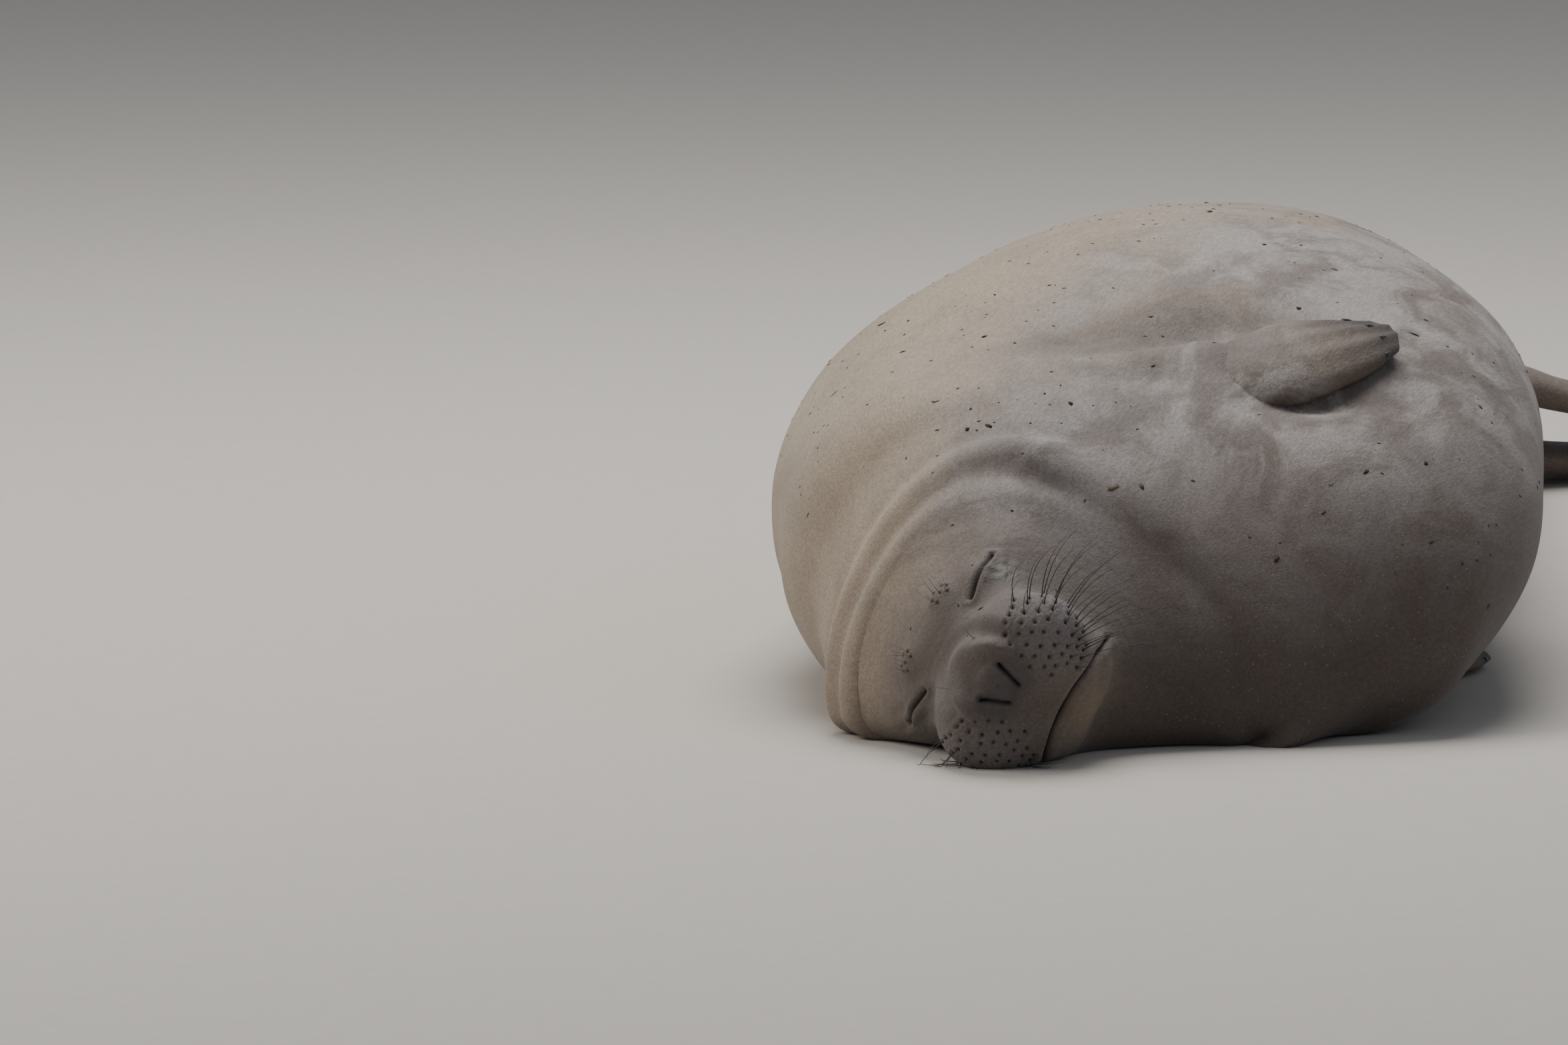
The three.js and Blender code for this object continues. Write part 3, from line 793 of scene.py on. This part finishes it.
OPENING_SHADE = rgb(0.008, 0.006, 0.005)
WHISKER_BLACK, WHISKER_BROWN = rgb(0.012, 0.01, 0.01), rgb(0.05, 0.04, 0.035)
CLAW_BLACK, CLAW_BROWN = rgb(0.016, 0.012, 0.01), rgb(0.06, 0.045, 0.035)
DIRT_DARK, DIRT_SANDY = rgb(0.035, 0.024, 0.018), rgb(0.16, 0.115, 0.075)
FLOOR_GREY, FLOOR_PALE = rgb(0.5, 0.47, 0.43), rgb(0.56, 0.53, 0.48)


def use(nodes, tree, values=()):
    return nodes.add("ShaderNodeGroup", values, node_tree=tree).outputs


def seal_coat_group(lie, clouds, grains):
    """The colour of the whole coat, from the place on the body and how far it is face, chin or flipper, with
    painted shade underneath and in the shoulder hollow, and painted light on the top and the upper chest.
    """
    inputs = {"Face": 0.0, "Chin": 0.0, "Pad": 0.0, "Hollow": 0.0, "Flipper": 0.0, "Tip": 0.0}
    outputs = {"Color": "Color", "Height": "Float", "Grain": "Float"}
    nodes, given, out = new_group("seal_coat", inputs, outputs)
    place = nodes.add("ShaderNodeTexCoord").outputs["Object"]
    x, _, z = nodes.add("ShaderNodeSeparateXYZ", {0: place}).outputs
    wander = nodes.noise(place, 5.0, 4, 0.6)
    drift = nodes.math("MULTIPLY", nodes.math("SUBTRACT", wander, 0.5), 0.3)
    x_soft = nodes.math("ADD", x, drift)
    z_soft = nodes.math("ADD", z, nodes.math("MULTIPLY", drift, 0.5))
    back = nodes.span(x_soft, 0.1, -0.22)
    colour = nodes.blend(back, COOL_CHEST, WARM_BACK)
    # Paler towards the top of the body: partly the coat's warm tone, partly painted light from above.
    lit_top = nodes.span(z_soft, 0.36, 0.5)
    colour = nodes.blend(nodes.math("MULTIPLY", lit_top, 0.75), colour, TOP_LIT_WARM_COAT)
    patches = use(nodes, clouds, {"Scale": 7.0, "Cover": 0.66})["Mask"]
    # Painted sheen: the belly side is painted paler towards its top, away from the darker patches.
    pale_sheen = nodes.math("MULTIPLY", nodes.math("SUBTRACT", 1.0, back), nodes.span(z_soft, 0.2, 0.4))
    colour = nodes.blend(nodes.math("MULTIPLY", pale_sheen, nodes.math("SUBTRACT", 1.0, patches)), colour, SHEEN_PALE)
    belly = nodes.span(x_soft, -0.2, 0.25)
    blotches = use(nodes, clouds, {"Scale": 12.0, "Cover": 0.74})["Mask"]
    blotch = nodes.math("MULTIPLY", blotches, nodes.math("ADD", nodes.math("MULTIPLY", belly, 0.62), 0.14))
    colour = nodes.blend(blotch, colour, BROWN_CLOUD)
    # Painted shade in the hollow over the left shoulder.
    hollow = nodes.math("MULTIPLY", given["Hollow"], 0.8)
    colour = nodes.blend(hollow, colour, HOLLOW_SHADE)
    # Darker towards the floor, more on the belly side: painted shade under the body, partly the coat's darker
    # brown there.
    under = nodes.span(nodes.math("SUBTRACT", z_soft, nodes.math("MULTIPLY", belly, 0.2)), 0.14, -0.14)
    colour = nodes.blend(nodes.math("MULTIPLY", under, 0.85), colour, UNDERSIDE_BROWN_AND_SHADE)
    shade = use(nodes, clouds, {"Scale": 24.0, "Cover": 0.5})["Mask"]
    face = nodes.blend(nodes.math("MULTIPLY", shade, 0.7), FACE_BROWN, FACE_DARK)
    face = nodes.blend(nodes.math("MULTIPLY", given["Pad"], 0.75), face, PAD_GREY)
    face = nodes.blend(nodes.math("MULTIPLY", given["Chin"], 0.85), face, CHIN_TAN)
    colour = nodes.blend(nodes.math("MULTIPLY", given["Face"], 0.86), colour, face)
    limb = nodes.blend(given["Tip"], FLIPPER_BROWN, FLIPPER_DARK)
    colour = nodes.blend(given["Flipper"], colour, limb)
    hair = use(nodes, lie, {"Fineness": 1.0})
    grey = nodes.span(hair["Tone"], 0, 1, 0.8, 1.17)
    shades = nodes.add("ShaderNodeCombineColor", {0: grey, 1: grey, 2: grey}).outputs[0]
    colour = nodes.blend(1.0, colour, shades, "MULTIPLY")
    sand = use(nodes, grains, {"Amount": 0.1})
    colour = nodes.blend(nodes.math("MULTIPLY", sand["Mask"], 0.3), colour, SAND)
    fill(nodes, out, {"Color": colour, "Height": hair["Height"], "Grain": sand["Height"]})
    return nodes.tree


# Materials
DRY_COAT, WET_COAT = 0.74, 0.3


def new_material(name, roughness, sheen=0.0):
    material = bpy.data.materials.new(name)
    material.use_nodes = True
    nodes = Nodes(material.node_tree)
    shader = material.node_tree.nodes["Principled BSDF"]
    shader.inputs["Roughness"].default_value = roughness
    shader.inputs["Sheen Weight"].default_value = sheen
    shader.inputs["Sheen Roughness"].default_value = 0.45
    return material, nodes, shader


def connect(nodes, source, shader, label):
    nodes.tree.links.new(source, shader.inputs[label])


def relief(nodes, shader, heights):
    """Bump from several heights, each with its depth in metres."""
    normal = None
    for height, depth in heights:
        values = {"Height": height, "Distance": depth, "Strength": 1.0}
        if normal is not None:
            values["Normal"] = normal
        normal = nodes.add("ShaderNodeBump", values).outputs[0]
    connect(nodes, normal, shader, "Normal")


def coat_material(seal_coat):
    """The coat of head and body, with a damp nose, painted shade in the eye slits, lip line and nostrils, and
    tear stains.
    """
    material, nodes, shader = new_material("seal_coat_on_body", DRY_COAT, 0.14)
    face = nodes.mask("face")
    masks = {"Chin": nodes.mask("chin"), "Pad": nodes.mask("pad"), "Hollow": nodes.mask("hollow")}
    coat = use(nodes, seal_coat, {"Face": face, **masks})
    nose = nodes.mask("nose")
    damp = nodes.noise(nodes.place(), 60.0, 4, 0.6)
    colour = nodes.blend(nodes.math("MULTIPLY", nodes.span(nose, 0.1, 0.8), 0.8), coat["Color"], NOSE_DARK)
    colour = nodes.blend(nodes.math("MULTIPLY", nodes.mask("tear"), 0.9), colour, TEAR_STAIN)
    # Whisker pits darkened: partly the dark whisker roots, partly painted shade in the pits.
    pits = nodes.span(nodes.mask("follicle"), 0.15, 0.75)
    colour = nodes.blend(nodes.math("MULTIPLY", pits, 0.85), colour, PIT_SHADE_AND_ROOT)
    eye_or_nose = nodes.math("MAXIMUM", nodes.mask("slit"), nodes.mask("nostril"))
    opening_shade = nodes.math("MAXIMUM", nodes.mask("mouth"), eye_or_nose)
    # Painted shade: near black in the slit between the lids, the line of the lips and the nostrils.
    colour = nodes.blend(nodes.span(opening_shade, 0.2, 0.85), colour, OPENING_SHADE)
    connect(nodes, colour, shader, "Base Color")
    wet = nodes.math("MULTIPLY", nodes.span(nose, 0.25, 0.9), nodes.span(damp, 0.35, 0.6))
    wet = nodes.math("MAXIMUM", wet, nodes.math("MULTIPLY", nodes.mask("tear"), 0.6))
    connect(nodes, nodes.span(wet, 0, 1, DRY_COAT, WET_COAT), shader, "Roughness")
    pores = nodes.noise(nodes.place(), 420.0, 3, 0.6)
    relief(nodes, shader, [(coat["Height"], 0.0016), (coat["Grain"], 0.0006),
                           (nodes.math("MULTIPLY", pores, face), 0.0009)])
    return material


def hide_material(seal_coat):
    """The coat of the flippers, bare and dark towards the free edge."""
    material, nodes, shader = new_material("flipper_coat", 0.7, 0.12)
    tip = nodes.mask("tip")
    mottle = nodes.noise(nodes.place(), 22.0, 5, 0.6)
    edge = nodes.math("ADD", tip, nodes.math("MULTIPLY", nodes.math("SUBTRACT", mottle, 0.5), 0.35))
    values = {"Flipper": nodes.span(edge, 0.25, 0.8), "Tip": nodes.span(edge, 0.6, 1.0)}
    coat = use(nodes, seal_coat, values)
    connect(nodes, coat["Color"], shader, "Base Color")
    creases = nodes.noise(nodes.place((1, 0.35, 1)), 140.0, 4, 0.6)
    relief(nodes, shader, [(coat["Height"], 0.0014), (coat["Grain"], 0.0006), (creases, 0.0012)])
    return material


def horn_material(name, horn_grain, dark, light, roughness):
    """Horn of whiskers and claws, darker and lighter along its grain."""
    material, nodes, shader = new_material(name, roughness)
    grain = use(nodes, horn_grain, {"Scale": 180.0})
    connect(nodes, nodes.blend(grain["Mask"], dark, light), shader, "Base Color")
    relief(nodes, shader, [(grain["Height"], 0.0002)])
    return material


def fleck_material():
    """Dry crumbs from dark brown to sandy."""
    material, nodes, shader = new_material("dry_dirt", 0.9)
    tone = nodes.noise(nodes.place(), 14.0, 2, 0.5)
    connect(nodes, nodes.blend(nodes.span(tone, 0.45, 0.75), DIRT_DARK, DIRT_SANDY), shader, "Base Color")
    relief(nodes, shader, [(nodes.noise(nodes.place(), 900.0, 3, 0.6), 0.0006)])
    return material


def floor_material():
    material, nodes, shader = new_material("studio_floor", 0.9)
    speck = nodes.noise(nodes.place(), 30.0, 6, 0.6)
    connect(nodes, nodes.blend(speck, FLOOR_GREY, FLOOR_PALE), shader, "Base Color")
    return material


# Whiskers, claws and dirt
JUST_CLEAR = 0.4
OFF_AXIS = [0.31, 0.17, 0.93]  # a way that no whisker or claw runs along


def spine(route, root_radius, tip_radius, sides=5):
    """Points and faces of a tapered, closed spine along a route."""
    route = np.array(route)
    ahead = unit(np.gradient(route, axis=0))
    wide = unit(np.cross(ahead, OFF_AXIS))
    high = np.cross(ahead, wide)
    turn = np.arange(sides) / sides * 2 * math.pi
    radius = np.linspace(root_radius, tip_radius, len(route))[:, None, None]
    ring = wide[:, None] * np.cos(turn)[:, None] + high[:, None] * np.sin(turn)[:, None]
    rings = route[:, None] + radius * ring
    points = np.vstack([rings.reshape(-1, 3), route[-1] + ahead[-1] * tip_radius])
    points[:, 2] = np.maximum(points[:, 2], JUST_CLEAR)
    faces = [tuple(f) for f in face_list(len(route), sides)]
    end = (len(route) - 1) * sides
    faces += [(end + j, end + (j + 1) % sides, len(points) - 1) for j in range(sides)]
    faces.append(tuple(range(sides))[::-1])
    return points, faces


def joined(shapes):
    """Several shapes' points and faces as those of one mesh."""
    points, faces, count = [], [], 0
    for some, theirs in shapes:
        points.append(some)
        faces += [tuple(k + count for k in f) for f in theirs]
        count += len(some)
    return np.vstack(points), faces


WHISKER_CLEAR = 2.0
WHISKER_POINTS = 13
SINK = 3.0
TIP_RADIUS = {"pad": 0.16, "brow": 0.15, "snout": 0.15}
PAD_BEND = np.array([-0.62, 0.1, -0.78])
BROW_BEND = np.array([-0.9, 0.3, -0.1])
SNOUT_BEND = np.array([-1.0, 0, 0])


def whisker(spot, way, bend, length, curl):
    """The route of a whisker that leaves its pit one way and bends another, clear of the floor."""
    share = np.linspace(0, 1, WHISKER_POINTS)[:, None]
    route = spot - SINK * way + length * (way * share * (1 - 0.22 * share) + curl * bend * share**2)
    route = from_head(route)
    route[1:, 2] = np.maximum(route[1:, 2], WHISKER_CLEAR)
    return route


def make_whiskers(places, rng):
    """Whiskers from every pit: long at the back of each pad, short or missing at its front."""
    shapes = []
    for kind, spot, _, side, column, row in places:
        if kind == "pad":
            core = PAD_CORE * [1, side, 1]
            out = unit(spot - core)
            reach = smoothstep(column + 0.35 * abs(row - 2.5) - 0.35 * row, 1.2, 5.0)
            if reach < 0.15 and rng.random() < 0.7:
                continue
            length = 14 + 92 * reach * rng.uniform(0.75, 1.15)
            way = unit(out + np.array([-0.05, 0.35 * side, 0.12]) + rng.normal(0, 0.06, 3))
            route = whisker(spot, way, PAD_BEND * [1, side, 1], length, rng.uniform(0.32, 0.55))
            root_radius = 0.35 + 0.4 * reach
        elif kind == "brow":
            way = unit(np.array([-0.35, 0.1 * side, 0.85]) + rng.normal(0, 0.12, 3))
            route = whisker(spot, way, BROW_BEND * [1, side, 1], rng.uniform(16, 36), 0.35)
            root_radius = 0.4
        else:
            way = unit(np.array([-0.1, 0.3 * side, 0.9]))
            route = whisker(spot, way, SNOUT_BEND, 34, 0.4)
            root_radius = 0.4
        shapes.append(spine(route, root_radius, TIP_RADIUS[kind]))
    points, faces = joined(shapes)
    piece = new_mesh("whiskers", points, faces)
    return piece


CLAW_LENGTH, CLAW_RADIUS, CLAW_TIP = 20, 3.4, 0.8
CLAW_PLACE = 0.9  # how far along the flipper, from root to free edge
CLAW_EDGE = 0.93  # how far out the outer claws stand, from the middle to the flipper's side
CLAW_ROOT, CLAW_DEPTH = 9, 1.5


def make_claws(name, shape):
    """A short dark nail on the back of each digit, near the free edge."""
    points, _ = ring_spots(**shape)
    rows, around = points.shape[:2]
    digits = len(shape["digit_ends"])
    row = int(rows * CLAW_PLACE)
    shapes = []
    for k in range(digits):
        v = np.clip(2 * k / (digits - 1) - 1, -CLAW_EDGE, CLAW_EDGE)
        j = int(round(math.acos(v) / (2 * math.pi) * around))
        root, before = points[row, j], points[row - 6, j]
        ahead = unit(root - before)
        up = unit(points[row, j] - points[row, -j])
        run = np.linspace(0, 1, 8)[:, None]
        arch = ahead * run + up * (0.16 * run - 0.24 * run**2)
        route = root - ahead * CLAW_ROOT - up * CLAW_DEPTH + CLAW_LENGTH * arch
        shapes.append(spine(route, CLAW_RADIUS, CLAW_TIP, 9))
    claws, faces = joined(shapes)
    piece = new_mesh(name + "_claws", claws, faces)
    return piece


FLECK_COUNT = 520
FLECK_SMALL, FLECK_LARGE, SMALL_SHARE = (1.2, 2.6), (3, 5.5), 0.88
BARE_ROWS = 60  # the first rows of the skin, on the snout, have none
BARE_HEIGHT = 60  # nor has the skin this near the floor
CRUMB = np.array([
    [0, 0, 0.5], [1, 0, 0], [0.3, 0.9, 0.1], [-0.8, 0.5, 0], [-0.7, -0.6, 0.1], [0.4, -0.9, 0], [0, 0, -0.6],
])


def make_flecks(skin, rng):
    """Bits of dirt caught on the coat: small flat crumbs set on the skin."""
    normals = grid_normals(skin)
    sides = [(0, k, k % 5 + 1) for k in range(1, 6)] + [(6, k % 5 + 1, k) for k in range(1, 6)]
    shapes = []
    girth = np.linalg.norm(np.diff(skin, axis=1), axis=-1).sum(axis=1)
    area = girth * np.linalg.norm(np.gradient(skin.mean(axis=1), axis=0), axis=-1)
    area[:BARE_ROWS] = 0
    while len(shapes) < FLECK_COUNT:
        i, j = rng.choice(len(skin), p=area / area.sum()), rng.integers(0, AROUND)
        spot, normal = skin[i, j], normals[i, j]
        facing = normal[2] + 0.35 * noise(spot[None], 160, 61)[0]
        if facing < rng.uniform(-0.1, 1.0) or spot[2] < BARE_HEIGHT:
            continue
        size = rng.uniform(*(FLECK_SMALL if rng.random() < SMALL_SHARE else FLECK_LARGE))
        along = unit(np.cross(normal, rng.normal(size=3)))
        over = np.cross(normal, along)
        axes = np.stack([along * size * rng.uniform(1, 1.9), over * size * 0.8, normal * size * 0.6])
        shapes.append((spot + (CRUMB + rng.normal(0, 0.12, CRUMB.shape)) @ axes, sides))
    points, faces = joined(shapes)
    piece = new_mesh("dirt_flecks", points, faces)
    return piece


# The seal, the floor and the light
seal_coat = seal_coat_group(coat_lie_group(), cloud_group(), grain_group())
skin, skin_points, places = make_skin(np.random.default_rng(5))
skin.data.materials.append(coat_material(seal_coat))
horn_grain = horn_group()
whisker_horn = horn_material("whisker_horn", horn_grain, WHISKER_BLACK, WHISKER_BROWN, 0.4)
make_whiskers(places, np.random.default_rng(23)).data.materials.append(whisker_horn)
hide = hide_material(seal_coat)
claw_horn = horn_material("claw_horn", horn_grain, CLAW_BLACK, CLAW_BROWN, 0.45)
for name, shape in FLIPPERS.items():
    make_flipper(name, shape).data.materials.append(hide)
    make_claws(name, shape).data.materials.append(claw_horn)
make_flecks(skin_points, np.random.default_rng(71)).data.materials.append(fleck_material())
make_stage(floor_material())
soft_light("sky_above", (-0.8, 1.5, 6), 4.5, 400, (1, 0.98, 0.96))
soft_light("sky_left", (-4.5, -3, 4.5), 4.5, 200, (1, 0.95, 0.88))
soft_light("sky_right", (5, -5, 3.5), 5, 40, (0.85, 0.92, 1))
even_light((0.85, 0.9, 1, 1), 0.28)
make_camera()
